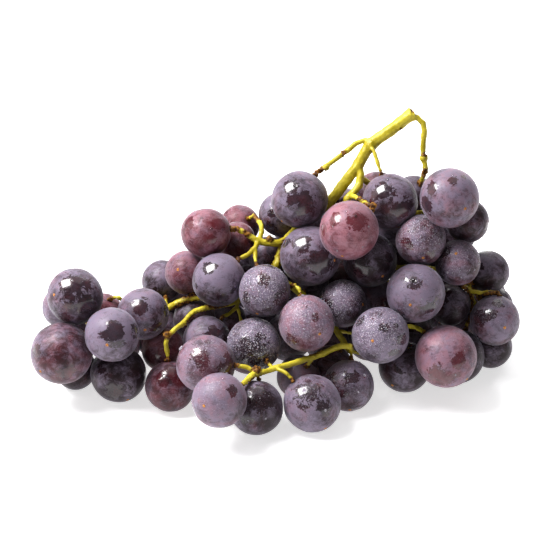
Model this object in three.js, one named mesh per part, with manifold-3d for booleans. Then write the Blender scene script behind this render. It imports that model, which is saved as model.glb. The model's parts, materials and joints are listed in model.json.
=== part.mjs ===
// A bunch of red-black table grapes lying on its side, as picked: one branching stem and the berries it holds.
// Millimetres, +Z up, +X along the bunch from its thin tail to its broad shoulder, origin at the middle of its base.
import * as THREE from "three";
import { mergeVertices } from "three/addons/utils/BufferGeometryUtils.js";
import Module from "manifold-3d";

const wasm = await Module();
wasm.setup();

// Driving dimensions
const SKIN_GAP = 0.3; // between two skins that press on each other, and between a skin and the stem
const SQUEEZE = 1.5; // how far two neighbours flatten into each other, both together
const TABLE_SQUEEZE = 0.6; // how far a berry flattens where the bunch rests on it
const RESTING = 1.6; // a berry whose place is within this of the table comes to rest on it
const JOINED = 2.6; // overlap of two berries that share a node
const JOIN_REACH = 1.6; // berries of one node this close to touching are joined
const FINE = 2; // subdivision of a big outer berry
const PLAIN = 1; // subdivision of the small and the buried berries
const BIG = 9; // radius from which an outer berry counts as big
const ARM_STEP = 4; // length of one straight stretch of an arm of the stem
const STALK_STEP = 9; // and of a berry's own stalk
const RACHIS_SIDES = 8;
const ARM_SIDES = 6;
const STALK_SIDES = 4;
const PEDICEL = 1.3; // thickness of the little stalk of one berry
const RECEPTACLE = 3.4; // thickness of its swollen end, under the berry
const RECEPTACLE_LENGTH = 1.6;
const STALK_CLEARANCE = 0.5; // between a stalk's side and a berry that it passes
const SETTLING_STEPS = 400;
const HOME_PULL = 0.08; // share of the way back to its place that a berry goes in one step
const FIRM = 0.35; // how readily an outer berry gives way, against 1 for one that is buried or behind

const RED = "red";

// Where the berries grow, region by region: x, y, z of the middle, radius, and RED for one less ripe
const OUTER = {
  tail: [
    [-76, -5, 40, 10.7],
    [-81, -17, 22, 11.8],
    [-61.5, -19, 31.5, 10.4],
    [-50.5, -3, 31, 10],
    [-82, 8, 27.5, 8.2],
    [-64.5, 9, 25, 8, RED],
    [-60, -13, 10.8, 10.8],
    [-77, -5, 8, 8],
    [-44, 24, 30, 8.3],
    [-34, 15, 38, 8.5, RED],
  ],
  left: [
    [-21, 2, 43, 10.2],
    [-26.5, 16, 56, 9.6, RED],
    [-14, 40.5, 46, 8, RED],
    [-14, 25, 47, 7.5, RED],
    [-3, -3.5, 42, 9.9],
    [-31, 10.5, 21, 8.3],
    [-26, -6, 21.5, 9.2],
    [-43, -3, 15, 8.5, RED],
    [-40, -20, 9.6, 9.6],
  ],
  crown: [
    [10, 20, 68, 10.9],
    [2, 32, 55, 8.6],
    [28, 0, 66, 11.2, RED],
    [13.5, 7, 51, 11.6],
    [43, 17, 69, 10.7],
    [36.5, 9, 48, 10.4],
  ],
  shoulder: [
    [66, 8, 75.5, 11.4],
    [54, 33, 63, 8],
    [55.5, 8, 57.5, 9.7],
    [73, 19, 60, 8.5],
    [70, 7, 48, 8.8],
    [53.5, -6, 42, 11.3],
  ],
  right: [
    [83, 22, 35, 8.5],
    [85, 4, 24, 9.7],
    [85, 21, 18, 8.6],
    [68, 10, 27.5, 8],
    [71.5, 1, 10.5, 10.5],
    [65, -17, 20.5, 11.9, RED],
    [84, 12, 8.5, 8.5],
  ],
  front: [
    [-8, -14, 24, 10.3],
    [-26, -26.5, 23, 11.1],
    [-20.5, -47, 20, 10.3],
    [-7, -36, 10.3, 10.3],
    [12, -15, 34, 10.7],
    [14, -34, 11, 10.9],
    [28, -19.5, 10, 9.8],
    [26, -1, 34.5, 9.2],
    [40, -17, 30, 10.8],
    [50, -6.5, 10, 10],
  ],
};

// Berries that are buried or turned away: neighbours share a node, pressed into one another
const INNER = {
  inner_left: [
    [-5, 22, 43.5, 8],
    [-10, 18, 31, 8.5],
  ],
  under_front: [
    [8, -12, 9.5, 8.5],
    [23, -4, 9.5, 8.5],
  ],
  core_low: [
    [-21.5, 15.5, 16, 8],
    [-13, 8, 10, 9.5],
    [4, 11, 13, 9.5],
    [21, 15, 10, 9.5],
    [38, 13, 12, 9.5],
    [55, 16, 11, 9.5],
  ],
  core_middle: [
    [12, 21, 32, 9.2],
    [27, 26, 28, 9.5],
    [41, 18, 25, 9],
    [56, 11, 31, 9],
  ],
  back_low_left: [
    [-76, 16.8, 12, 8],
    [-64, 11, 9.5, 9.5],
    [-47, 17, 10, 10],
    [-30, 24, 9, 9],
    [-39.5, 32, 13.5, 8],
  ],
  back_low_right: [
    [-13, 29, 10, 10],
    [5, 32, 9.2, 9.2],
    [22, 37, 10.4, 10.4],
    [42, 36, 9.5, 9.5],
    [59, 37, 10, 10],
    [74, 28, 9, 9],
    [87, 34, 19, 8],
  ],
  back_middle: [
    [-32, 31, 25, 8.8],
    [-16, 39, 28, 10.2],
    [3, 46, 24, 9.6],
    [20, 45, 31, 10.2],
    [38, 49, 26, 9.8],
    [55, 43, 31, 10],
    [73, 38, 26, 9],
  ],
  back_upper: [
    [5.5, 41, 44, 10.2],
    [25, 44, 49, 9.2],
    [42, 24, 50, 8.5],
    [43, 41, 46, 10],
    [60, 35.5, 48, 9],
    [71.5, 32, 46.5, 7.8],
  ],
  back_top: [
    [27, 35, 55, 8.5],
    [41, 36, 57.5, 8.8],
  ],
};

// The stem: every route runs x, y, z, and its thickness tapers between the two figures after it
const RACHIS = {
  route: [
    [53, 38, 96.5],
    [50.5, 37.5, 94.5],
    [45, 35, 91],
    [36.5, 33, 85],
    [32, 30, 78],
    [27, 27.5, 72],
    [22, 26.5, 65],
    [13, 25, 57],
    [4, 17.5, 51],
    [0.5, 11.5, 44],
    [-5, 9, 37],
    [-13, 7, 32],
    [-23, 9, 32],
    [-33, 9, 31],
    [-43, 10, 25],
    [-53, 8, 19],
    [-62, 2, 20],
    [-70, -4, 26],
  ],
  thickness: [4.7, 1.8],
};

const BRANCHES = [
  // Over the shoulder, hanging free beside the cut end
  {
    route: [
      [48, 36, 93],
      [54, 37.5, 95],
      [56, 37, 94],
      [57.5, 35.5, 92],
      [57, 33.5, 87],
      [57, 31.5, 82],
      [58, 29, 76.5],
      [57, 28.5, 73.5],
    ],
    thickness: [2.2, 1.8],
    holds: "shoulder_2",
  },
  // The first arm on the other side of the cut end
  {
    route: [
      [38, 33.5, 85.5],
      [33, 34, 87],
      [30.5, 32.5, 85.5],
      [26.5, 30.5, 83],
      [22, 28, 80.5],
      [16, 25, 77.5],
    ],
    thickness: [2.2, 1.5],
    holds: "crown_1",
  },
  {
    route: [
      [36.5, 32, 85],
      [38, 28.5, 85],
      [39, 26.5, 82],
      [40.5, 24, 78],
    ],
    thickness: [1.4, 1.1],
    holds: "crown_5",
  },
  // The shoulder's own arm: it leaves the rachis, turns down behind the crown and runs right inside the bunch
  {
    route: [
      [32, 30, 78],
      [33, 26, 73.5],
      [31, 23.5, 70.5],
      [27.5, 21.5, 67.5],
      [29, 19.5, 59],
      [31, 20, 50],
      [34, 24, 41],
      [44, 25, 36],
      [56, 22, 37],
      [66, 20, 37],
      [75, 15, 34],
    ],
    thickness: [3, 1.6],
  },
  // A second arm of the shoulder, behind its upper berries
  {
    route: [
      [33, 27, 74],
      [38, 29.5, 69],
      [42, 29.5, 64],
      [48, 26, 61],
      [54, 22, 61.5],
      [61, 19, 64],
      [65, 20, 63],
    ],
    thickness: [2.2, 1.5],
  },
  {
    route: [
      [54, 22, 61.5],
      [54.8, 19.8, 60.8],
      [55, 18.4, 60.2],
    ],
    thickness: [1.6, 1.3],
    holds: "shoulder_3",
  },
  // Two buried arms that feed the far side
  {
    route: [
      [34, 24, 41],
      [32, 31, 38],
      [31, 37, 30],
      [33, 38, 21],
      [45, 37, 22],
      [60, 33, 22],
    ],
    thickness: [2.4, 1.5],
  },
  {
    route: [
      [-13, 7, 32],
      [-20, 16, 28],
      [-21, 27, 19],
      [-8, 36, 19],
      [-3, 36, 19],
    ],
    thickness: [2, 1.5],
  },
  {
    route: [
      [29, 22.5, 69],
      [29, 20.5, 70],
      [32.5, 15.5, 71],
      [35, 8.5, 72.5],
      [37.5, 6, 72.5],
    ],
    thickness: [1.8, 1.4],
    holds: "crown_3",
  },
  {
    route: [
      [70, 18, 36],
      [73.5, 11, 34.5],
      [77.5, 9, 33.5],
      [81.5, 8, 34],
      [86.5, 8, 34],
    ],
    thickness: [1.8, 1.5],
    holds: "right_2",
  },
  // The stout left arm under the crown, with its three forks
  {
    route: [
      [7, 19, 54],
      [3, 16, 52],
      [-3.5, 14.5, 52.5],
      [-7, 15, 53],
      [-11, 15, 56.5],
      [-15.5, 16, 58],
    ],
    thickness: [3, 1.8],
    holds: "left_2",
  },
  {
    route: [
      [-6.5, 15, 53],
      [-7.5, 11, 52.5],
      [-10, 6.5, 52],
      [-13.5, 5, 51],
    ],
    thickness: [2, 1.5],
    holds: "left_1",
  },
  {
    route: [
      [-7.5, 11, 52.5],
      [-7.5, 7, 51.5],
      [-7.5, 3.5, 50.5],
    ],
    thickness: [1.5, 1.2],
    holds: "left_5",
  },
  {
    route: [
      [-6, 15, 53],
      [-5, 20, 55.5],
      [-6.5, 27, 55.5],
      [-8.5, 33, 54.5],
    ],
    thickness: [1.8, 1.4],
    holds: "left_3",
  },
  // The long arm over the lower left berries
  {
    route: [
      [-13, 7, 32],
      [-18, 4, 31.5],
      [-24.5, 1.5, 31.5],
      [-31, -1, 31],
      [-35, -6.5, 29],
      [-39.5, -11.5, 28],
      [-41.5, -13, 25],
      [-41, -13.5, 20],
    ],
    thickness: [2.4, 1.6],
    holds: "left_9",
  },
  {
    route: [
      [-14, 6, 32],
      [-15, 2, 30.5],
      [-18.5, -0.5, 29],
      [-20.5, -1.5, 28.5],
    ],
    thickness: [1.5, 1.2],
    holds: "left_7",
  },
  // The low front arm: out between the front berries, then left, with a fork to each berry there
  {
    route: [
      [0, 10, 41],
      [11, 9, 32],
      [21, 4, 24],
      [26, -4, 20],
      [29, -11, 19],
      [29.5, -13, 21.5],
      [27, -13.5, 23.5],
      [22, -14.5, 22.5],
      [17.5, -17, 21.5],
      [10, -21.5, 21.5],
      [5, -24, 21],
      [0.5, -26.5, 21.5],
      [-3, -28.5, 21],
      [-6, -29.5, 21],
    ],
    thickness: [2.6, 2],
  },
  {
    route: [
      [-5, -29.5, 21],
      [-8, -29.5, 22],
      [-10.5, -29.5, 23.5],
      [-14, -29, 24],
    ],
    thickness: [2, 1.5],
    holds: "front_2",
  },
  {
    route: [
      [-6, -29.5, 21],
      [-8.5, -32, 21.5],
      [-11.5, -37.5, 21.5],
    ],
    thickness: [2.4, 1.9],
    holds: "front_3",
  },
  {
    route: [
      [0, -26.5, 21.5],
      [2, -28, 21.5],
      [5, -30.5, 21],
    ],
    thickness: [1.6, 1.3],
    holds: "front_6",
  },
  // Short arms seen in the gaps on the right
  {
    route: [
      [45, 24.5, 36],
      [47, 16, 24],
      [48, 4, 22],
      [51, -2, 25],
      [55, -5, 26],
      [57, -7, 25.5],
    ],
    thickness: [2, 1.5],
    holds: "right_6",
  },
  {
    route: [
      [1, 12, 43],
      [5, 2, 40],
      [7, -2, 43.5],
      [9.5, -5, 43],
    ],
    thickness: [1.5, 1.2],
    holds: "front_5",
  },
  {
    route: [
      [-53, 9, 20],
      [-61, 7, 33],
      [-63.5, 7.5, 32],
    ],
    thickness: [1.6, 1.3],
    holds: "tail_6",
  },
];

// Knots where a berry or a twig has dropped off: x, y, z and thickness
const KNOTS = [
  [57.3, 31, 80.5, 3.2],
  [19.5, 26.5, 79, 2.8],
  [37.2, 6.4, 73, 2.4],
  [-2, 14.8, 54, 2.6],
  [-41, -12.5, 27.5, 3],
  [-7, -29.5, 22.6, 3],
  [75, 14, 35.5, 2.6],
  [37, 33, 85.5, 5.6],
];
const KNOT_DETAIL = 1; // subdivision of a knot's octahedron

const point = ([x, y, z]) => new THREE.Vector3(x, y, z);
const smooth = (points) => new THREE.CatmullRomCurve3(points, false, "centripetal");

function asSolid(geometry) {
  const bare = geometry.clone();
  bare.deleteAttribute("normal");
  bare.deleteAttribute("uv");
  const merged = bare.index ? bare : mergeVertices(bare);
  return new wasm.Manifold(
    new wasm.Mesh({
      numProp: 3,
      vertProperties: new Float32Array(merged.attributes.position.array),
      triVerts: new Uint32Array(merged.index.array),
    }),
  );
}

function asGeometry(solid) {
  const { vertProperties, triVerts } = solid.getMesh();
  const geometry = new THREE.BufferGeometry();
  geometry.setAttribute("position", new THREE.BufferAttribute(vertProperties, 3));
  geometry.setIndex(new THREE.BufferAttribute(triVerts, 1));
  geometry.computeVertexNormals();
  return geometry;
}

// Berries: their places, and how they settle against each other

function planBerries() {
  const berries = [];
  for (const [region, places] of Object.entries(OUTER))
    places.forEach(([x, y, z, radius, ripeness], i) => {
      const node = `${region}_${i + 1}`;
      berries.push({ node, home: point([x, y, z]), radius, ripeness, gives: FIRM });
    });
  for (const [node, places] of Object.entries(INNER))
    places.forEach(([x, y, z, radius]) => {
      berries.push({ node, home: point([x, y, z]), radius, shared: true, gives: 1 });
    });
  for (const berry of berries) {
    berry.at = berry.home.clone();
    berry.rests = berry.home.z - berry.radius < RESTING;
  }
  return berries;
}

function areJoined(a, b) {
  const touching = a.home.distanceTo(b.home) < a.radius + b.radius + JOIN_REACH;
  return Boolean(a.shared) && a.node === b.node && touching;
}

// Points every few millimetres along the arms of the stem, each with the stem's radius there
function stemPoints(routes) {
  return routes.flatMap(({ route, thickness: [start, end] }) => {
    const curve = smooth(route.map(point));
    const count = Math.ceil(curve.getLength() / 2);
    return curve.getSpacedPoints(count).map((at, i) => ({
      at,
      radius: (start + ((end - start) * i) / count) / 2,
    }));
  });
}

function separate(a, b) {
  const apart = b.at.clone().sub(a.at);
  const distance = apart.length();
  const joined = areJoined(a, b);
  const wanted = a.radius + b.radius - (joined ? JOINED : SQUEEZE);
  const overlap = wanted - distance;
  if (overlap <= 0 && !joined) return;
  apart.multiplyScalar(overlap / distance / (a.gives + b.gives));
  a.at.addScaledVector(apart, -a.gives);
  b.at.addScaledVector(apart, b.gives);
}

function clearOfStem(berry, points) {
  for (const { at, radius } of points) {
    const away = berry.at.clone().sub(at);
    const overlap = berry.radius + radius + SKIN_GAP - away.length();
    if (overlap > 0) berry.at.addScaledVector(away.normalize(), overlap);
  }
}

function settle(berries, points) {
  for (let step = 0; step < SETTLING_STEPS; step++) {
    const pull = HOME_PULL * (1 - step / SETTLING_STEPS);
    for (const berry of berries) berry.at.lerp(berry.home, pull);
    berries.forEach((a, i) => berries.slice(i + 1).forEach((b) => separate(a, b)));
    for (const berry of berries) {
      clearOfStem(berry, points);
      const lowest = berry.radius - TABLE_SQUEEZE;
      if (berry.rests || berry.at.z < lowest) berry.at.z = lowest;
    }
  }
}

// A ball turned so that one of its facets faces straight down
function ball(detail) {
  const geometry = new THREE.IcosahedronGeometry(1, detail);
  const corner = (i) => new THREE.Vector3().fromBufferAttribute(geometry.attributes.position, i);
  const facet = corner(0).add(corner(1)).add(corner(2)).normalize();
  const turn = new THREE.Quaternion().setFromUnitVectors(facet, new THREE.Vector3(0, 0, -1));
  geometry.applyQuaternion(turn);
  geometry.deleteAttribute("normal");
  geometry.deleteAttribute("uv");
  return mergeVertices(geometry, 1e-4);
}
const FINE_BALL = ball(FINE);
const PLAIN_BALL = ball(PLAIN);
const ballOf = ({ shared, radius }) => (shared || radius < BIG ? PLAIN_BALL : FINE_BALL).clone();

// How far out the skin lies along a direction: the radius, or less where a flat of contact cuts it off
function reach(berry, direction, flats) {
  let far = berry.radius;
  for (const { normal, distance } of flats) {
    const slope = direction.dot(normal);
    if (slope > 0) far = Math.min(far, distance / slope);
  }
  return far;
}

function flatsOf(berry, berries) {
  const down = new THREE.Vector3(0, 0, -1);
  const flats = [{ normal: down, distance: berry.at.z }];
  for (const other of berries) {
    if (other === berry || areJoined(berry, other)) continue;
    const normal = other.at.clone().sub(berry.at);
    const gap = normal.length();
    if (gap > berry.radius + other.radius + SKIN_GAP) continue;
    const share = (gap * gap + berry.radius ** 2 - other.radius ** 2) / (2 * gap);
    flats.push({ normal: normal.divideScalar(gap), distance: share - SKIN_GAP / 2 });
  }
  return flats;
}

function berrySolid(berry, berries) {
  const geometry = ballOf(berry);
  const flats = flatsOf(berry, berries);
  const skin = geometry.attributes.position;
  const direction = new THREE.Vector3();
  for (let i = 0; i < skin.count; i++) {
    direction.fromBufferAttribute(skin, i).normalize();
    const far = reach(berry, direction, flats);
    direction.multiplyScalar(far).add(berry.at);
    skin.setXYZ(i, direction.x, direction.y, Math.max(direction.z, 0));
  }
  return asSolid(geometry);
}

// The stem

const evenly = (count) => Array.from({ length: count + 1 }, (_, i) => i / count);

// A closed tube along a smooth curve, with a ring of corners at each of the given shares of its length
function tube(curve, rings, thicknessAt, sides) {
  const vertices = [];
  const faces = [];
  let side = new THREE.Vector3(0.31, 0.87, 0.39);
  rings.forEach((t) => {
    const middle = curve.getPointAt(t);
    const forward = curve.getTangentAt(t);
    side = side.clone().addScaledVector(forward, -side.dot(forward)).normalize();
    const up = forward.clone().cross(side);
    for (let j = 0; j < sides; j++) {
      const angle = (2 * Math.PI * j) / sides;
      const spoke = side.clone().multiplyScalar(Math.cos(angle)).addScaledVector(up, Math.sin(angle));
      vertices.push(...middle.clone().addScaledVector(spoke, thicknessAt(t) / 2));
    }
  });
  for (let i = 0; i + 1 < rings.length; i++)
    for (let j = 0; j < sides; j++) {
      const a = i * sides + j;
      const b = i * sides + ((j + 1) % sides);
      faces.push(a, b, b + sides, a, b + sides, a + sides);
    }
  const last = (rings.length - 1) * sides;
  for (let j = 1; j + 1 < sides; j++) {
    faces.push(0, j + 1, j);
    faces.push(last, last + j, last + j + 1);
  }
  const geometry = new THREE.BufferGeometry();
  geometry.setAttribute("position", new THREE.Float32BufferAttribute(vertices, 3));
  geometry.setIndex(faces);
  return asSolid(geometry);
}

function armSolid({ route, thickness: [start, end] }, sides) {
  const curve = smooth(route.map(point));
  const rings = evenly(Math.ceil(curve.getLength() / ARM_STEP));
  return tube(curve, rings, (t) => start + (end - start) * t, sides);
}

// A stalk swells into the receptacle just before it meets its berry
function stalkSolid(points, thickness) {
  const curve = smooth(points);
  const length = curve.getLength();
  const swell = 1 - Math.min(0.6, RECEPTACLE_LENGTH / length);
  const shaft = evenly(Math.ceil(length / STALK_STEP)).map((t) => t * swell);
  return tube(curve, [...shaft, 1], (t) => (t > swell ? RECEPTACLE : thickness), STALK_SIDES);
}

// Bends a stalk round the berries between its two ends
function bend(points, berry, berries) {
  const room = PEDICEL / 2 + SKIN_GAP + STALK_CLEARANCE;
  for (let round = 0; round < 60; round++)
    for (let i = 1; i + 1 < points.length; i++) {
      const straight = points[i - 1].clone().add(points[i + 1]).multiplyScalar(0.5);
      points[i].lerp(straight, 0.2);
      for (const other of berries) {
        const away = points[i].clone().sub(other.at);
        const overlap = other.radius + room - away.length();
        if (other !== berry && overlap > 0) points[i].addScaledVector(away.normalize(), overlap);
      }
      points[i].z = Math.max(points[i].z, PEDICEL);
    }
  return points;
}

function blockage(points, berry, berries) {
  let worst = 0;
  const others = berries.filter((other) => other !== berry);
  for (const at of smooth(points).getSpacedPoints(24))
    for (const other of others)
      worst = Math.max(worst, other.radius + SKIN_GAP + PEDICEL / 2 - at.distanceTo(other.at));
  return worst;
}

// The shortest stalk from the stem to a berry that no other berry blocks
function stalkRoute(berry, berries, points) {
  const near = [...points].sort((a, b) => a.at.distanceTo(berry.at) - b.at.distanceTo(berry.at));
  let best = null;
  for (const { at } of near.slice(0, 40)) {
    const inward = at.clone().sub(berry.at).normalize();
    const end = berry.at.clone().addScaledVector(inward, berry.radius * 0.95);
    const route = [0, 0.25, 0.5, 0.75, 1].map((t) => at.clone().lerp(end, t));
    bend(route, berry, berries);
    const last = route[3].clone().sub(berry.at).normalize();
    route[4] = berry.at.clone().addScaledVector(last, berry.radius * 0.95);
    const length = route.slice(1).reduce((sum, p, i) => sum + p.distanceTo(route[i]), 0);
    const cost = length + 40 * Math.max(0, blockage(route, berry, berries) - 0.2);
    if (!best || cost < best.cost) best = { route, cost };
  }
  return best.route;
}

function stemSolid(berries) {
  const points = stemPoints([RACHIS, ...BRANCHES.filter(({ holds }) => !holds)]);
  let stem = armSolid(RACHIS, RACHIS_SIDES);
  for (const branch of BRANCHES) stem = stem.add(armSolid(branch, ARM_SIDES));
  for (const [x, y, z, thickness] of KNOTS) {
    const knot = new THREE.OctahedronGeometry(thickness / 2, KNOT_DETAIL).translate(x, y, z);
    stem = stem.add(asSolid(knot));
  }
  for (const branch of BRANCHES.filter(({ holds }) => holds)) {
    const berry = berries.find(({ node }) => node === branch.holds);
    const tip = point(branch.route.at(-1));
    const inward = tip.clone().sub(berry.at).normalize();
    const end = berry.at.clone().addScaledVector(inward, berry.radius * 0.95);
    const start = point(branch.route.at(-2)).lerp(tip, 0.8);
    stem = stem.add(stalkSolid([start, tip.lerp(start, 0.3), end], branch.thickness[1]));
    berry.held = true;
  }
  for (const berry of berries.filter(({ held }) => !held))
    stem = stem.add(stalkSolid(stalkRoute(berry, berries, points), PEDICEL));
  for (const berry of berries) {
    const room = ballOf(berry);
    const size = berry.radius + SKIN_GAP * 1.2;
    room.scale(size, size, size).translate(...berry.at);
    stem = stem.subtract(asSolid(room));
  }
  const bodies = stem.decompose();
  return bodies.reduce((a, b) => (a.volume() > b.volume() ? a : b));
}

// The bunch

const LOOKS = {
  ripe: { color: 0x4a3546, roughness: 0.42, metalness: 0 },
  red: { color: 0x6e3540, roughness: 0.42, metalness: 0 },
  stem: { color: 0xb7ad36, roughness: 0.6, metalness: 0 },
};

function named(name, solid, look) {
  const mesh = new THREE.Mesh(asGeometry(solid), new THREE.MeshStandardMaterial(LOOKS[look]));
  mesh.name = name;
  return mesh;
}

function build() {
  const berries = planBerries();
  settle(berries, stemPoints([RACHIS, ...BRANCHES]));
  const bunch = new THREE.Group();
  bunch.add(named("stem", stemSolid(berries), "stem"));
  const nodes = Map.groupBy(berries, ({ node }) => node);
  for (const [node, members] of nodes) {
    const solids = members.map((berry) => berrySolid(berry, berries));
    const solid = solids.reduce((a, b) => a.add(b));
    const name = `${members[0].shared ? "berries" : "berry"}_${node}`;
    bunch.add(named(name, solid, members[0].ripeness ?? "ripe"));
  }
  const box = new THREE.Box3().setFromObject(bunch);
  const middle = box.getCenter(new THREE.Vector3());
  bunch.position.set(-middle.x, -middle.y, -box.min.z);
  return bunch;
}

export default build();
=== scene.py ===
"""A bunch of red-black table grapes with its yellow-green stem, lying on its side on a white table."""

import json
import math

import bmesh
import bpy
import numpy as np
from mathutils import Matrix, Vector


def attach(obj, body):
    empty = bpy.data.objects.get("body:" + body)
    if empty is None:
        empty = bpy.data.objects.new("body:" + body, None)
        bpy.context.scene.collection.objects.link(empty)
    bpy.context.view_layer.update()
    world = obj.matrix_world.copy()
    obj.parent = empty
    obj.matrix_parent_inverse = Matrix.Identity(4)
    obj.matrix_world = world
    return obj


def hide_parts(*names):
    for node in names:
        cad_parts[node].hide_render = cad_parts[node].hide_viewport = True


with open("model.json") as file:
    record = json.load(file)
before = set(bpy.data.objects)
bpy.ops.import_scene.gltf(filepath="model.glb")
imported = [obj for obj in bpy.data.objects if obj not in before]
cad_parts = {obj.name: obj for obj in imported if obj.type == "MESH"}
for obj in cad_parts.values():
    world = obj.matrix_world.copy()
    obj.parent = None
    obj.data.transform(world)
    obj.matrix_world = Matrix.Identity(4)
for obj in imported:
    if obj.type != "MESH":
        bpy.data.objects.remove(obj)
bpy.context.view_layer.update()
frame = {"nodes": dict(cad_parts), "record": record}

MM = 0.001
scene = bpy.context.scene


# ---------------------------------------------------------------- table and studio
# The bunch lies on a plain white table in a white studio. A square softbox hangs above it on the left,
# which puts a window-shaped highlight on every berry. Three cards and the white room fill the shadows, and
# the table's own painted glow paints out most of the shadows on it and lights the berries from below.

ELEVATION = math.radians(30)
AIM = Vector((1.0, 19.8, 33.0)) * MM
CAMERA_AWAY = 1.0
LENS, SENSOR = 164.8, 36.0
GAMMA = 0.86
ROOM_STRENGTH = 0.22
TABLE_SIZE = 4
# How strongly the table glows: a painted glow that fades its shadows and lights the berries from below
TABLE_GLOW = 0.66
# Each softbox: its direction from the bunch, its distance and side in metres, and its power in watts
SOFTBOXES = {
    "key_softbox": ((-0.55, 0.0, 0.84), 0.95, 0.5, 15.5),
    "back_card": ((0.1, 0.9, 0.42), 1.4, 2.0, 17.0),
    "left_card": ((-1.0, 0.15, 0.3), 1.2, 0.9, 3.2),
    "top_card": ((0.1, 0.35, 1.0), 1.5, 1.2, 4.0),
}

to_camera = Vector((0, -math.cos(ELEVATION), math.sin(ELEVATION)))
screen_up = Vector((0, math.sin(ELEVATION), math.cos(ELEVATION)))
camera = bpy.data.objects.new("camera", bpy.data.cameras.new("camera"))
camera.data.lens, camera.data.sensor_width = LENS, SENSOR
camera.location = AIM + to_camera * CAMERA_AWAY
camera.rotation_euler = (-to_camera).to_track_quat("-Z", "Y").to_euler()
scene.collection.objects.link(camera)
scene.camera = camera
scene.view_settings.view_transform = "Standard"
scene.view_settings.gamma = GAMMA

for name, (towards, away, size, power) in SOFTBOXES.items():
    light = bpy.data.lights.new(name, "AREA")
    light.shape, light.size, light.energy = "SQUARE", size, power
    lamp = bpy.data.objects.new(name, light)
    lamp.location = AIM + Vector(towards).normalized() * away
    lamp.rotation_euler = Vector(towards).to_track_quat("Z", "Y").to_euler()
    scene.collection.objects.link(lamp)

room = bpy.data.worlds.new("white_room")
room.use_nodes = True
room.node_tree.nodes["Background"].inputs["Color"].default_value = (1, 1, 1, 1)
room.node_tree.nodes["Background"].inputs["Strength"].default_value = ROOM_STRENGTH
scene.world = room


def hue(code):
    """The linear colour of a six-figure sRGB code."""
    parts = [int(code[i : i + 2], 16) / 255 for i in (0, 2, 4)]
    return tuple(p / 12.92 if p <= 0.04045 else ((p + 0.055) / 1.055) ** 2.4 for p in parts) + (1.0,)


class Wire:
    """One socket of a material's node tree, with arithmetic that adds Math nodes."""

    def __init__(self, tree, socket):
        self.tree, self.socket = tree, socket

    def node(self, kind, settings=None, output=0, **inputs):
        """Adds a node of a type, with its settings and values or links for its sockets; _0 is the first."""
        made = self.tree.nodes.new(kind)
        for name, value in (settings or {}).items():
            setattr(made, name, value)
        for name, value in inputs.items():
            socket = made.inputs[int(name[1:]) if name[0] == "_" else name.replace("_", " ")]
            if isinstance(value, Wire):
                self.tree.links.new(value.socket, socket)
            else:
                socket.default_value = value
        return Wire(self.tree, made.outputs[output])

    def math(self, operation, a, b=0.0, clamp=False):
        return self.node("ShaderNodeMath", {"operation": operation, "use_clamp": clamp}, _0=a, _1=b)

    def __add__(self, other):
        return self.math("ADD", self, other)

    def __sub__(self, other):
        return self.math("SUBTRACT", self, other)

    def __rsub__(self, other):
        return self.math("SUBTRACT", other, self)

    def __mul__(self, other):
        return self.math("MULTIPLY", self, other)

    __radd__ = __add__

    def clamped(self):
        return self.math("ADD", self, 0.0, clamp=True)

    def step(self, low, high):
        """0 below low, 1 above high, smooth between them."""
        settings = {"interpolation_type": "SMOOTHSTEP"}
        return self.node("ShaderNodeMapRange", settings, _0=self, _1=low, _2=high, _3=0.0, _4=1.0)

    def mix(self, a, b):
        """Colour a where this is 0 and colour b where it is 1."""
        return self.node("ShaderNodeMix", {"data_type": "RGBA"}, 2, _0=self, _6=a, _7=b)

    def noise(self, size, detail=3.0, roughness=0.5, distortion=0.0):
        """Noise whose blobs are about that many millimetres across, on these coordinates."""
        scale = 1 / (size * MM)
        return self.node(
            "ShaderNodeTexNoise",
            Vector=self,
            Scale=scale,
            Detail=detail,
            Roughness=roughness,
            Distortion=distortion,
        )

    def stretched(self, x, y, z):
        return self.node("ShaderNodeVectorMath", {"operation": "MULTIPLY"}, _0=self, _1=(x, y, z))

    def bump(self, height_mm, strength=1.0):
        """A normal raised by this height, whose full range is that many millimetres."""
        return self.node("ShaderNodeBump", Height=self, Distance=height_mm * MM, Strength=strength)

    def cells(self, size):
        """Scattered cells about that many millimetres across: 0 at the middle of each, rising outwards."""
        settings = {"feature": "F1"}
        return self.node("ShaderNodeTexVoronoi", settings, Vector=self, Scale=1 / (size * MM), Randomness=1.0)

    def attribute(self, name):
        """A value painted on the mesh's corners."""
        return self.node("ShaderNodeAttribute", {"attribute_name": name}, 2)


def new_material(name, **constants):
    """A material with one Principled shader, with its coordinates and a function that feeds a socket."""
    material = bpy.data.materials.new(name)
    material.use_nodes = True
    tree = material.node_tree
    shader = tree.nodes["Principled BSDF"]
    for socket, value in constants.items():
        shader.inputs[socket.replace("_", " ")].default_value = value

    def feed(socket, wire):
        tree.links.new(wire.socket, shader.inputs[socket])

    start = Wire(tree, None)
    return material, start.node("ShaderNodeTexCoord", None, 3), feed


bpy.ops.mesh.primitive_plane_add(size=TABLE_SIZE)
table = bpy.context.object
table.name = "table"
table_paint, _, _ = new_material(
    "glowing_white_table",
    Base_Color=hue("dededf"),
    Roughness=0.6,
    Emission_Color=(1, 1, 1, 1),
    Emission_Strength=TABLE_GLOW,
)
table.data.materials.append(table_paint)


# ---------------------------------------------------------------- berries
# Some ninety round berries, each a thin skin full of juicy flesh, grown on its own stalk. Where two press
# on each other, or one on the table, both flatten a little. The skin is violet-black, redder on the less
# ripe ones, under a grey waxy bloom that is rubbed off in glossy patches where things touched it.

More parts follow.
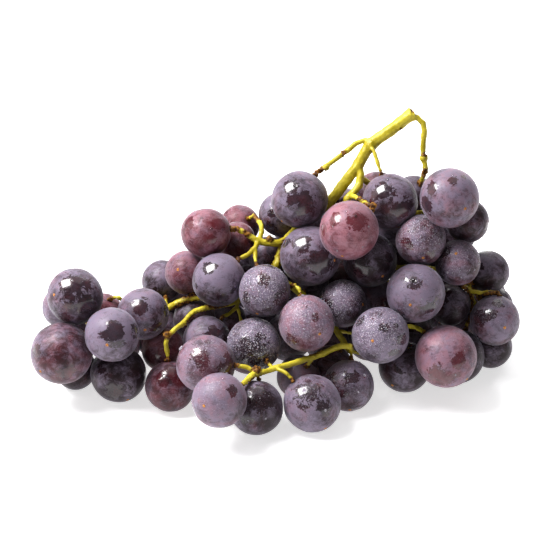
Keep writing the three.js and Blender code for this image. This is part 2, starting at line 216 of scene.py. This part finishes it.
DETAIL = 5  # subdivision of the ball that each berry starts from
SMALLEST, LARGEST = 6.8 * MM, 12.6 * MM  # radii between which a sphere is taken for a berry
SAME_BALL = 0.35 * MM  # middles found this close together belong to one ball
NEXT_BALL = 5 * MM  # and none this close to it belongs to another
SOLVABLE = 0.55 * MM  # facets flatter than this tell nothing about their sphere
FEWEST_VOTES = 9
STALK_END = 0.5 * MM  # how deep the end of a stalk counts, from its nearest corner
FLAT_ROUNDING = 0.22 * MM  # how softly a flat of contact meets the round skin
SKIN_APART = 0.12 * MM
GRAZING = 0.3  # below this slope a flat of contact lies too far round to matter
FAR_FLAT = 4 * MM
WAVES = (1.3, 2.1, 3.2)  # slow waves over a berry's skin, in turns from side to side
WAVE = 0.007
LONGER, LONGER_FROM = 0.018, 0.4  # growth along the stalk's line, and the cosine squared where it starts
DIMPLE, DIMPLE_WIDTH = 0.45 * MM, 0.2  # where the stalk enters, its width in radians
SCAR_DIMPLE = (0.3 * DIMPLE, 0.5 * DIMPLE_WIDTH)
# Added to a berry's seed, so that its draws for looks, rubbed patches and water differ
LOOK_DRAWS, RUB_DRAWS, BEAD_DRAWS = 11, 500, 900


def facets(node):
    """The corners and triangles of a CAD node, with its split corners joined."""
    mesh = frame["nodes"][node].data
    mesh.calc_loop_triangles()
    corners = np.array([v.co for v in mesh.vertices])
    _, first, joined = np.unique(np.round(corners / MM, 3), axis=0, return_index=True, return_inverse=True)
    triangles = np.array([t.vertices for t in mesh.loop_triangles])
    return corners[first], joined.reshape(-1)[triangles]


def balls_of(node):
    """Middle and radius of each ball of a node: most pairs of neighbouring facets agree on one sphere."""
    corners, triangles = facets(node)
    across = {}
    for triangle in triangles:
        for i in range(3):
            a, b, c = (int(triangle[(i + k) % 3]) for k in range(3))
            across.setdefault((min(a, b), max(a, b)), []).append(c)
    quads = np.array([(*edge, *ends) for edge, ends in across.items() if len(ends) == 2])
    p = corners[quads]
    sides = 2 * (p[:, 1:] - p[:, :1])
    solvable = np.abs(np.linalg.det(sides)) > SOLVABLE**3
    p, sides = p[solvable], sides[solvable]
    squares = (p**2).sum(-1)
    middles = np.linalg.solve(sides, (squares[:, 1:] - squares[:, :1])[..., None])[..., 0]
    radii = np.linalg.norm(p[:, 0] - middles, axis=1)
    fits = (radii > SMALLEST) & (radii < LARGEST)
    middles, radii = middles[fits], radii[fits]
    found = []
    while len(middles):
        apart = np.linalg.norm(middles[:, None] - middles[None], axis=2)
        votes = (apart < SAME_BALL).sum(1)
        if votes.max() < FEWEST_VOTES:
            break
        near = apart[votes.argmax()] < SAME_BALL
        found.append((Vector(np.median(middles[near], axis=0)), float(np.median(radii[near]))))
        far = np.linalg.norm(middles - np.array(found[-1][0]), axis=1) > NEXT_BALL
        middles, radii = middles[far], radii[far]
    return found


berries = []
for node in sorted(frame["nodes"]):
    if node.startswith("berr"):
        for middle, radius in balls_of(node):
            berries.append({"node": node, "middle": middle, "radius": radius, "seed": len(berries)})

stem_corners = facets("stem")[0]
for berry in berries:
    away = stem_corners - np.array(berry["middle"])
    distance = np.linalg.norm(away, axis=1)
    end = distance < distance.min() + STALK_END
    berry["stalk"] = Vector((away[end] / distance[end, None]).mean(0)).normalized()


def facing(right, up):
    """The direction on a ball that shows that far right and up of its middle, from the bunch's open side."""
    out = math.sqrt(max(0.0, 1 - right**2 - up**2))
    return (Vector((right, 0, 0)) + screen_up * up + to_camera * out).normalized()


# Where the blossom scar of a berry shows, as shares of its radius right and up of its middle
SCARS = {
    "berry_tail_1": (-0.69, 0.06),
    "berry_tail_3": (-0.11, -0.36),
    "berry_tail_4": (0.12, -0.6),
    "berry_tail_7": (0.34, -0.9),
    "berry_tail_10": (-0.37, 0.14),
    "berry_crown_3": (-0.24, -0.88),
    "berry_shoulder_1": (0.47, -0.38),
    "berry_front_3": (-0.53, -0.16),
    "berry_front_5": (0.46, -0.36),
    "berry_front_6": (0.46, -0.84),
    "berry_front_7": (0.04, -0.93),
    "berry_front_8": (0.83, -0.04),
    "berry_front_9": (-0.32, -0.18),
    "berry_front_10": (-0.5, -0.7),
    "berry_right_2": (0.32, -0.28),
    "berry_right_6": (0.66, -0.71),
}
for berry in berries:
    shown = SCARS.get(berry["node"])
    berry["scar"] = facing(*shown) if shown else -berry["stalk"]

# How red a berry is, how thick its bloom, and how wet, each from 0 to 1
LOOKS = {
    "berry_tail_1": (0.15, 0.45, 0.1),
    "berry_tail_2": (0.3, 0.4, 0.05),
    "berry_tail_3": (0.05, 0.8, 0.2),
    "berry_tail_4": (0.1, 0.6, 0.1),
    "berry_tail_6": (0.6, 0.4, 0.0),
    "berry_tail_7": (0.0, 0.25, 0.0),
    "berry_tail_8": (0.0, 0.1, 0.0),
    "berry_tail_9": (0.05, 0.45, 0.1),
    "berry_tail_10": (0.55, 0.5, 0.1),
    "berry_left_1": (0.0, 0.65, 0.15),
    "berry_left_2": (0.65, 0.5, 0.1),
    "berry_left_3": (0.7, 0.4, 0.1),
    "berry_left_4": (0.6, 0.4, 0.1),
    "berry_left_5": (0.1, 0.65, 0.8),
    "berry_left_6": (0.1, 0.2, 0.0),
    "berry_left_7": (0.15, 0.55, 0.2),
    "berry_left_8": (0.6, 0.4, 0.0),
    "berry_left_9": (0.4, 0.3, 0.1),
    "berry_crown_1": (0.15, 0.55, 0.15),
    "berry_crown_2": (0.15, 0.5, 0.1),
    "berry_crown_3": (0.7, 0.65, 0.3),
    "berry_crown_4": (0.1, 0.6, 0.2),
    "berry_crown_5": (0.15, 0.5, 0.15),
    "berry_crown_6": (0.05, 0.3, 0.1),
    "berry_shoulder_1": (0.25, 0.7, 0.15),
    "berry_shoulder_3": (0.3, 0.6, 0.6),
    "berry_shoulder_4": (0.15, 0.4, 0.1),
    "berry_shoulder_5": (0.2, 0.6, 0.5),
    "berry_shoulder_6": (0.1, 0.7, 0.3),
    "berry_right_1": (0.1, 0.45, 0.1),
    "berry_right_2": (0.15, 0.65, 0.4),
    "berry_right_3": (0.05, 0.3, 0.0),
    "berry_right_4": (0.1, 0.25, 0.0),
    "berry_right_5": (0.0, 0.2, 0.0),
    "berry_right_6": (0.5, 0.65, 0.3),
    "berry_right_7": (0.0, 0.2, 0.0),
    "berry_front_1": (0.0, 0.6, 0.9),
    "berry_front_2": (0.35, 0.65, 0.45),
    "berry_front_3": (0.25, 0.75, 0.4),
    "berry_front_4": (0.0, 0.4, 0.3),
    "berry_front_5": (0.4, 0.85, 0.6),
    "berry_front_6": (0.1, 0.7, 0.4),
    "berry_front_7": (0.15, 0.55, 0.4),
    "berry_front_8": (0.05, 0.5, 0.7),
    "berry_front_9": (0.0, 0.75, 0.7),
    "berry_front_10": (0.05, 0.35, 0.05),
}
CHANCE_LOOKS = ((0, 0.35), (0.25, 0.6), (0, 0.15))  # and the ranges of these for every other berry
for berry in berries:
    chance = np.random.default_rng(berry["seed"] + LOOK_DRAWS)
    guess = tuple(chance.uniform(*span) for span in CHANCE_LOOKS)
    berry["red"], berry["bloom"], berry["wet"] = LOOKS.get(berry["node"], guess)

ball = bmesh.new()
bmesh.ops.create_icosphere(ball, subdivisions=DETAIL, radius=1)
ball_corners = np.array([v.co for v in ball.verts])
ball_faces = np.array([[v.index for v in f.verts] for f in ball.faces])
ball.free()


def skin_reach(berry):
    """How far from its middle a berry's skin lies along each direction of the ball."""
    chance = np.random.default_rng(berry["seed"])
    reach = np.full(len(ball_corners), berry["radius"])
    for turns in WAVES:
        pole = chance.normal(size=3)
        pole /= np.linalg.norm(pole)
        reach *= 1 + WAVE / turns * np.cos(turns * math.pi * (ball_corners @ pole) + chance.uniform(0, 6))
    stalk, scar = np.array(berry["stalk"]), np.array(berry["scar"])
    reach *= 1 + LONGER * ((ball_corners @ stalk) ** 2 - LONGER_FROM)
    for pole, depth, width in ((stalk, DIMPLE, DIMPLE_WIDTH), (scar, *SCAR_DIMPLE)):
        angle = np.arccos(np.clip(ball_corners @ pole, -1, 1))
        reach -= depth * np.exp(-((angle / width) ** 2))
    pressed = [(np.array((0, 0, -1.0)), berry["middle"].z)]
    for other in berries:
        towards = other["middle"] - berry["middle"]
        gap = towards.length
        if other is not berry and gap < berry["radius"] + other["radius"] + SKIN_APART:
            share = (gap**2 + berry["radius"] ** 2 - other["radius"] ** 2) / (2 * gap)
            pressed.append((np.array(towards / gap), share - SKIN_APART / 2))
    total = np.exp(-(reach - berry["radius"]) / FLAT_ROUNDING)
    for normal, distance in pressed:
        slope = ball_corners @ normal
        hit = slope > GRAZING
        flat = distance / slope[hit] - berry["radius"]
        total[hit] += np.exp(-np.clip(flat, -FAR_FLAT, FAR_FLAT) / FLAT_ROUNDING)
    return berry["radius"] - FLAT_ROUNDING * np.log(total)


def mesh_piece(name, corners, faces, material, node=None, slot=None):
    """A smooth closed piece from corners and faces, riding with the bunch."""
    mesh = bpy.data.meshes.new(name)
    mesh.from_pydata(corners, [], faces)
    mesh.polygons.foreach_set("use_smooth", [True] * len(mesh.polygons))
    mesh.materials.append(material)
    piece = bpy.data.objects.new(name, mesh)
    scene.collection.objects.link(piece)
    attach(piece, "root")
    if node:
        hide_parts(node)
    return piece


def paint(piece, name, values):
    """Puts one value on each corner of a piece's mesh."""
    layer = piece.data.attributes.new(name, "FLOAT", "POINT")
    layer.data.foreach_set("value", np.asarray(values, np.float32))


skin, place, feed = new_material(
    "grape_skin",
    IOR=1.45,
    Subsurface_Weight=0.1,
    Subsurface_Radius=(1.0, 0.28, 0.22),
    Subsurface_Scale=2.0 * MM,
    Coat_Roughness=0.05,
    Coat_IOR=1.5,
    Sheen_Weight=0.5,
    Sheen_Roughness=0.4,
    Sheen_Tint=hue("c8c4d4"),
)
# The bloom painted on each berry holds its real bloom and also painted light and shade
red, wax_and_shade = place.attribute("red"), place.attribute("bloom")
rub, wet = place.attribute("rub"), place.attribute("wet")
FLESH = hue("240d15"), hue("6c242e")  # of a ripe berry and of a red one
BLOOM = hue("877a8d"), hue("a5747f")
# The pale colour of lenticels, and the near-white of the painted glints on fine water
LENTICEL, FROST_GLINT = hue("b09a84"), hue("e6dfe9")
LENTICELS_APART, BEADS_APART = 1.6, 0.8  # in millimetres

# Patterns over the skin, from broad to fine
cloud = place.noise(7.5, 3, 0.55)
blot = place.noise(5.5, 4, 0.6, 0.5)
streak = place.stretched(1.0, 1.7, 1.2).noise(4.5, 6, 0.7, 1.6)
dapple = place.noise(2.2, 6, 0.68, 0.9)
flecks = place.stretched(1.0, 1.0, 2.4).noise(1.9, 4, 0.7, 1.4).step(0.6, 0.65)
speckle = place.noise(0.5, 2, 0.6)

# Where the skin is rubbed bare, and how much bloom is left elsewhere, with painted light and shade in it
rubbed = (rub + (dapple - 0.5) * 1.3 + (blot - 0.5) * 1.5).step(0.52, 0.6) * (0.55 + cloud * 0.8).clamped()
bare = (rubbed + flecks * 0.6).clamped()
dusty_and_shade = (wax_and_shade * 1.22 + (cloud - 0.5) * 2.1 + (streak - 0.5) * 2.0 + (speckle - 0.5) * 0.7).step(0.02, 1.1)
dusty_and_shade = dusty_and_shade * (1 - bare * 0.9)

# Flesh under bloom, with pale lenticels, and near-white painted glints of fine water where the berry is wet
tint = red + (blot - 0.5) * 1.3
flesh = tint.step(0.0, 1.0).mix(*FLESH)
bloom = tint.step(0.05, 0.9).mix(*BLOOM)
lenticel = place.cells(LENTICELS_APART).step(0.08, 0.04) * 0.3
frost_glints = place.noise(0.45, 2, 0.6).step(0.56, 0.64) * (wet + (dapple - 0.5) * 0.9).step(0.2, 0.75) * 0.7
dotted = lenticel.mix((dusty_and_shade * 0.95).mix(flesh, bloom), LENTICEL)
feed("Base Color", frost_glints.mix(dotted, FROST_GLINT))
feed("Roughness", 0.5 - bare * 0.36)
feed("Coat Weight", bare * 0.75 + 0.06)
beads = place.cells(BEADS_APART).step(0.42, 0.1) * (wet + (dapple - 0.5) * 0.6).step(0.2, 0.7)
relief = beads * 0.16 + speckle * 0.02 + dapple * 0.08 + dusty_and_shade * 0.05
feed("Normal", relief.bump(1.0, 0.9))

# Where the bloom is rubbed off the berries that show most: right and up of the middle, and how wide
RUBS = {
    "berry_tail_1": ((0.1, 0.3, 0.75), (0.45, -0.2, 0.5)),
    "berry_tail_2": ((-0.75, 0.1, 0.3), (0.2, -0.6, 0.35)),
    "berry_tail_3": ((0.15, 0.1, 0.55), (0.3, -0.25, 0.4)),
    "berry_tail_4": ((0.0, 0.35, 0.4), (0.55, -0.5, 0.3)),
    "berry_tail_7": ((-0.15, -0.6, 0.4), (-0.5, 0.3, 0.3)),
    "berry_left_1": ((-0.35, 0.5, 0.3), (0.2, -0.7, 0.3)),
    "berry_left_2": ((0.55, 0.4, 0.35), (0.3, -0.3, 0.25)),
    "berry_left_5": ((0.0, 0.4, 0.3), (-0.7, -0.3, 0.3)),
    "berry_left_7": ((0.3, 0.25, 0.45),),
    "berry_left_9": ((-0.1, 0.4, 0.45),),
    "berry_crown_1": ((0.05, -0.1, 0.62), (-0.25, 0.42, 0.4)),
    "berry_crown_2": ((-0.3, 0.2, 0.5),),
    "berry_crown_3": ((0.25, 0.3, 0.4), (-0.5, 0.35, 0.3)),
    "berry_crown_4": ((-0.25, 0.4, 0.38), (0.35, -0.3, 0.55)),
    "berry_crown_5": ((-0.25, 0.35, 0.5), (0.3, -0.3, 0.35)),
    "berry_crown_6": ((-0.4, -0.2, 0.5),),
    "berry_shoulder_1": ((-0.8, -0.25, 0.4), (0.1, 0.55, 0.2)),
    "berry_shoulder_3": ((-0.55, -0.15, 0.3), (0.35, -0.6, 0.35)),
    "berry_shoulder_5": ((-0.5, 0.5, 0.25),),
    "berry_shoulder_6": ((-0.15, 0.42, 0.36), (0.45, -0.45, 0.4)),
    "berry_right_2": ((-0.7, 0.2, 0.4), (0.1, 0.7, 0.3)),
    "berry_right_6": ((0.35, -0.1, 0.3), (-0.3, -0.5, 0.36)),
    "berry_front_1": ((0.0, -0.3, 0.8),),
    "berry_front_2": ((-0.15, 0.25, 0.42), (0.6, -0.1, 0.25)),
    "berry_front_3": ((0.5, 0.4, 0.25),),
    "berry_front_4": ((0.2, 0.4, 0.6), (-0.5, -0.2, 0.4)),
    "berry_front_5": ((0.3, 0.25, 0.2), (-0.55, -0.6, 0.3)),
    "berry_front_6": ((-0.2, 0.4, 0.55), (0.4, -0.1, 0.35)),
    "berry_front_7": ((0.1, 0.4, 0.4),),
    "berry_front_9": ((0.05, 0.25, 0.22), (0.5, -0.6, 0.3)),
}

RUB_STRENGTH, RUB_EDGE, RUB_SPREAD = 0.85, 2.5, 1.15  # how bare a patch is, its sharpness and its size
CHANCE_RUBS, CHANCE_WIDTHS = 4, (0.12, 0.4)  # patches that fall anywhere on every berry
LIT_SIDE = np.array((-0.2, -0.35, 0.9))  # the lit side, with painted light and shade on the bloom

slots = {part["node"]: part["material_slot"] for part in frame["record"]["subparts"]}
members = {}
for berry in berries:
    members.setdefault(berry["node"], []).append(berry)
for node, held in members.items():
    corners, faces, painted = [], [], {"red": [], "bloom": [], "rub": [], "wet": []}
    for berry in held:
        berry["reach"] = skin_reach(berry)
        faces.append(ball_faces + sum(map(len, corners)))
        corners.append(np.array(berry["middle"]) + ball_corners * berry["reach"][:, None])
        chance = np.random.default_rng(berry["seed"] + RUB_DRAWS)
        rubs = np.zeros(len(ball_corners))
        patches = [(np.array(facing(x, y)), width) for x, y, width in RUBS.get(node, ())]
        for _ in range(CHANCE_RUBS):
            pole = chance.normal(size=3)
            patches.append((pole / np.linalg.norm(pole), chance.uniform(*CHANCE_WIDTHS)))
        for pole, width in patches:
            angle = np.arccos(np.clip(ball_corners @ pole, -1, 1))
            rubs = np.maximum(rubs, RUB_STRENGTH * np.exp(-((angle / width / RUB_SPREAD) ** RUB_EDGE)))
        # Painted light and shade: bloom is made thicker and paler on each berry's lit side and thinner,
        # showing dark flesh, towards its bottom; the rubbed patches and the water gather on the lit side too
        lit_side = 0.5 + 0.5 * (ball_corners @ LIT_SIDE)
        rubs *= 0.35 + 0.65 * np.clip(2.2 * lit_side - 0.25, 0, 1)
        painted["red"].append(np.full(len(rubs), berry["red"]))
        painted["bloom"].append(berry["bloom"] * (0.15 + 1.05 * lit_side))
        painted["rub"].append(rubs)
        painted["wet"].append(berry["wet"] * lit_side)
    name = node.replace("berries", "grapes").replace("berry", "grape")
    piece = mesh_piece(name, np.concatenate(corners), np.concatenate(faces), skin, node, slots[node])
    for layer, values in painted.items():
        paint(piece, layer, np.concatenate(values))


# ---------------------------------------------------------------- stem
# One grown piece: a stout main stalk with side arms, and a thin stalk with a warty, swollen end for each
# berry. It is fresh and yellow-green, with brown at the knots, the cut end and where stalk meets berry.

VOXEL = 0.36 * MM
RELAXING, SMOOTHING = 0.5, 6  # how far each round of smoothing goes, and the number of rounds
FULLER = 0.22 * MM  # what the smoothing took off
RIPPLE, WARTS = 0.16 * MM, 0.16 * MM
# The ripple's directions and lengths in millimetres, and the warts' directions and length
RIPPLES = (((0.8, 0.5, 0.3), 5.1), ((-0.4, 0.8, 0.45), 3.3), ((0.3, -0.5, 0.8), 2.2))
WART_POLES = ((1, 0.2, 0.1), (-0.2, 1, 0.3), (0.1, -0.3, 1), (0.6, 0.6, -0.5))
WART_SIZE = 1.3
BERRY_BROWN = 2.3 * MM  # how far down a stalk the brown reaches from its berry
GREENS = hue("b3a31d"), hue("e2d34a")
BROWNS = hue("9a6a1c"), hue("4f2c10")
# Knots, wounds and dried tips: a place and how far round it the brown reaches, in millimetres
BROWN_SPOTS = [
    ((52.0, 38.0, 96.8), 2.2),
    ((47.5, 34.0, 91.5), 1.0),
    ((36.3, 6.6, 73.0), 2.4),
    ((31.5, 15.5, 71.0), 1.6),
    ((56.5, 31.5, 82.0), 1.6),
    ((57.0, 28.5, 75.5), 2.6),
    ((25.5, 30.5, 83.0), 1.5),
    ((16.0, 25.2, 77.8), 3.0),
    ((-11.9, 15.2, 56.5), 2.4),
    ((-16.4, 16.2, 58.0), 3.0),
    ((-3.0, 15.0, 54.0), 1.8),
    ((-42.0, -12.3, 27.5), 2.4),
    ((-8.0, -29.3, 22.6), 2.6),
    ((74.0, 14.2, 35.5), 2.2),
]

stem_mesh = frame["nodes"]["stem"].data.copy()
stem = bpy.data.objects.new("grape_stem", stem_mesh)
scene.collection.objects.link(stem)
remesh = stem.modifiers.new("even", "REMESH")
remesh.mode, remesh.voxel_size, remesh.use_smooth_shade = "VOXEL", VOXEL, True
relax = stem.modifiers.new("relax", "SMOOTH")
relax.factor, relax.iterations = RELAXING, SMOOTHING
bpy.context.view_layer.update()
evened = bpy.data.meshes.new_from_object(stem.evaluated_get(bpy.context.evaluated_depsgraph_get()))
stem.modifiers.clear()
stem.data = evened
stem.data.name = "grape_stem"

stem_skin, place, feed = new_material(
    "fresh_stem",
    Subsurface_Weight=0.1,
    Subsurface_Radius=(1.0, 0.8, 0.2),
    Subsurface_Scale=1.0 * MM,
    Coat_Weight=0.1,
)
brown = place.attribute("brown")
fibre = place.noise(1.1, 5, 0.6)
tone = place.noise(7, 3)
bark = (brown + (fibre - 0.5) * 0.9).step(0.35, 0.75)
green = (tone + (fibre - 0.5) * 0.4).step(0.3, 0.7).mix(*GREENS)
feed("Base Color", bark.mix(green, fibre.step(0.4, 0.6).mix(*BROWNS)))
feed("Roughness", bark * 0.3 + 0.42)
feed("Normal", (fibre * 0.16 + place.noise(0.5, 3) * 0.08 + bark * 0.1).bump(1.0, 0.9))

stem.data.materials.clear()
stem.data.materials.append(stem_skin)
corners = np.empty(len(stem.data.vertices) * 3)
stem.data.vertices.foreach_get("co", corners)
corners = corners.reshape(-1, 3)
normals = np.array([v.normal for v in stem.data.vertices])


def distance_from(point):
    """How far each corner of the stem lies from a point."""
    return np.linalg.norm(corners - np.array(point), axis=1)


def wave(pole, length_mm, shift):
    """A wave through the stem's corners along a direction."""
    return np.sin(corners @ (np.array(pole) * 2 * math.pi / (length_mm * MM)) + shift)


near_skin = np.min([distance_from(berry["middle"]) - berry["radius"] for berry in berries], axis=0)
browned = np.clip(1.4 - near_skin / BERRY_BROWN, 0, 1)
for spot, width in BROWN_SPOTS:
    browned = np.maximum(browned, np.clip(1.3 - distance_from(Vector(spot) * MM) / width / MM, 0, 1))
swell = sum(wave(pole, length, length) for pole, length in RIPPLES)
warts = sum(wave(pole, WART_SIZE, turn) for turn, pole in enumerate(WART_POLES))
grown = FULLER + RIPPLE * swell / len(RIPPLES) + WARTS * browned * warts
stem.data.vertices.foreach_set("co", (corners + normals * grown[:, None]).ravel())
paint(stem, "brown", browned)
stem.data.polygons.foreach_set("use_smooth", [True] * len(stem.data.polygons))
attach(stem, "root")
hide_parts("stem")


# ---------------------------------------------------------------- blossom scars
# The dry speck that the flower leaves at the far end of a berry from its stalk: a low corky button that is
# grown into the skin.

SCAR_WIDTH, SCAR_HEIGHT = 0.62 * MM, 0.2 * MM
SCAR_RINGS, SCAR_SIDES = 3, 12
LOWEST_SCAR = 1.5 * MM  # a scar nearer the table than this is pressed away
CORK = hue("8a4c20"), hue("e6a65c")
cork, place, feed = new_material("blossom_scar", Roughness=0.7)
feed("Base Color", place.noise(0.5, 3).step(0.3, 0.7).mix(*CORK))


def skin_at(berry, direction):
    """The point of a berry's skin in a direction."""
    nearest = (ball_corners @ np.array(direction)).argmax()
    return berry["middle"] + direction * float(berry["reach"][nearest])


def caps(places, rings, sides):
    """Low domes set into a skin: each place is a point, an outward direction, a radius and a height."""
    corners, faces = [], []
    for point, out, radius, height in places:
        across = out.orthogonal().normalized()
        along = out.cross(across)
        start = len(corners)
        corners.append(point + out * height)
        for ring in range(1, rings + 1):
            lean = ring / rings * math.pi / 2
            for side in range(sides):
                angle = 2 * math.pi * side / sides
                spoke = across * math.cos(angle) + along * math.sin(angle)
                corners.append(point + spoke * radius * math.sin(lean) + out * height * math.cos(lean))
        corners.append(point - out * height)
        for side in range(sides):
            after = (side + 1) % sides
            faces.append((start, start + 1 + side, start + 1 + after))
            for ring in range(rings - 1):
                a, b = (start + 1 + ring * sides + k for k in (side, after))
                faces.append((a, a + sides, b + sides, b))
            last = start + 1 + (rings - 1) * sides
            faces.append((last + side, start + 1 + rings * sides, last + after))
    return corners, faces


spots = []
for berry in berries:
    scar = berry["scar"]
    if (berry["middle"] + scar * berry["radius"]).z > LOWEST_SCAR:
        spots.append((skin_at(berry, scar), scar, SCAR_WIDTH, SCAR_HEIGHT))
mesh_piece("blossom_scars", *caps(spots, SCAR_RINGS, SCAR_SIDES), cork)


# ---------------------------------------------------------------- water
# Beads of clean water from rinsing, sitting on the upper skins: most on the berries that stayed wettest.

BEAD_RADIUS, BEAD_SPREAD = 0.17 * MM, 0.5
BEADS, DRY = 330, 0.22  # tries for each unit of wetness, and the wetness up to which there are none
BEAD_SIDE = Vector((-0.2, -0.5, 0.8)).normalized()
BEAD_HEIGHT, DROP_HEIGHT = 0.62, 0.55  # as shares of the radius
BEAD_RINGS, BEAD_SIDES = 3, 9
DROP_RINGS, DROP_SIDES = 5, 16
# The biggest drops, which hang on by themselves: right and up of a berry's middle, and their radius
BIG_DROPS = {
    "berry_tail_1": ((-0.05, 0.55, 0.5), (0.6, 0.55, 0.35)),
    "berry_tail_3": ((0.05, 0.45, 0.45),),
    "berry_left_2": ((0.25, 0.15, 0.5), (-0.1, -0.45, 0.35)),
    "berry_left_5": ((-0.05, 0.45, 0.8), (0.5, 0.2, 0.5), (0.3, -0.2, 0.4), (-0.4, 0.0, 0.45)),
    "berry_left_9": ((-0.2, 0.45, 0.8),),
    "berry_crown_1": ((-0.15, 0.45, 0.9), (0.1, 0.7, 0.6), (0.45, 0.3, 0.45)),
    "berry_crown_2": ((-0.35, 0.1, 0.9), (0.1, -0.2, 0.5)),
    "berry_crown_3": ((-0.55, 0.15, 0.8), (0.2, 0.45, 0.6), (-0.1, 0.6, 0.5), (0.55, -0.1, 0.4)),
    "berry_crown_5": ((0.45, 0.3, 0.6), (-0.1, 0.75, 0.5)),
    "berry_shoulder_1": ((0.05, 0.72, 0.5), (-0.55, -0.3, 0.4)),
    "berry_shoulder_3": ((0.12, 0.82, 0.7), (-0.5, 0.3, 0.5)),
    "berry_shoulder_6": ((-0.1, 0.42, 1.0), (-0.65, -0.05, 0.6), (0.55, -0.35, 0.5)),
    "berry_right_2": ((0.1, 0.75, 0.6), (-0.3, 0.3, 0.4)),
    "berry_front_3": ((0.15, 0.8, 0.5),),
    "berry_front_5": ((0.0, 0.6, 0.6), (0.55, -0.15, 0.45)),
    "berry_front_6": ((0.25, 0.55, 0.5),),
    "berry_front_7": ((-0.1, 0.35, 0.7), (0.2, 0.0, 0.4)),
    "berry_front_9": ((-0.05, 0.75, 0.8), (-0.3, 0.6, 0.5), (0.35, 0.45, 0.5)),
}
# The small beads are a pale, partly opaque white, painted glints of the light they catch; the big drops are
# clear
glinting_bead, _, _ = new_material(
    "water_bead", Base_Color=hue("e0dae4"), Roughness=0.03, IOR=1.33, Transmission_Weight=0.6
)
clear, _, _ = new_material(
    "water_drop", Base_Color=(1, 1, 1, 1), Roughness=0.0, IOR=1.33, Transmission_Weight=1.0
)
beads, drops = [], []
for berry in berries:
    chance = np.random.default_rng(berry["seed"] + BEAD_DRAWS)
    for _ in range(int(BEADS * max(0.0, berry["wet"] - DRY))):
        out = Vector(chance.normal(size=3)).normalized()
        if out.dot(BEAD_SIDE) < chance.uniform(-0.3, 0.6):
            continue
        radius = BEAD_RADIUS * math.exp(abs(chance.normal()) * BEAD_SPREAD)
        beads.append((skin_at(berry, out), out, radius, BEAD_HEIGHT * radius))
    for right, up, radius in BIG_DROPS.get(berry["node"], ()):
        out = facing(right, up)
        drops.append((skin_at(berry, out), out, radius * MM, DROP_HEIGHT * radius * MM))
mesh_piece("water_beads", *caps(beads, BEAD_RINGS, BEAD_SIDES), glinting_bead)
mesh_piece("water_drops", *caps(drops, DROP_RINGS, DROP_SIDES), clear)
